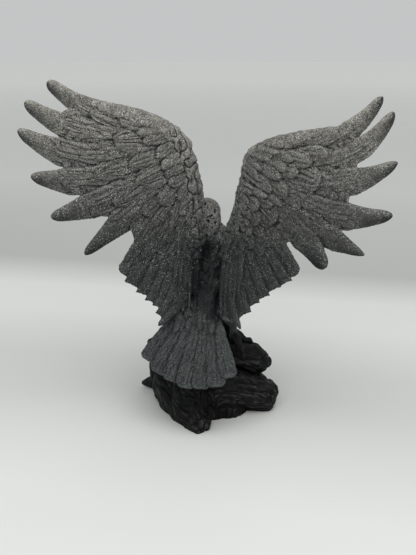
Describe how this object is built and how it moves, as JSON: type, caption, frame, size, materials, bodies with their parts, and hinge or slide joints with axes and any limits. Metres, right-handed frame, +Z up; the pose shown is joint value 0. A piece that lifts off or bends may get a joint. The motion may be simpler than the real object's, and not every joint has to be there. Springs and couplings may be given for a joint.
{
  "type": "eagle sculpture",
  "caption": "Cast eagle with raised, spread wings, a fanned tail and its head turned aside, standing on a gnarled driftwood stump with a flat underside.",
  "frame": {"origin": "on the stump's flat underside, below the middle of the bird's back", "axes": "+Z up, +Y the way the bird's breast faces, +X to the bird's right"},
  "size_m": [0.3297, 0.1513, 0.3334],
  "materials": {
    "eagle": "dark grey sparkle paint on cast resin",
    "driftwood_base": "matt black paint on cast resin, rubbed lighter along the grain"
  },
  "bodies": {
    "root": {"eagle": "eagle", "driftwood_base": "driftwood_base"}
  },
  "joints": []
}
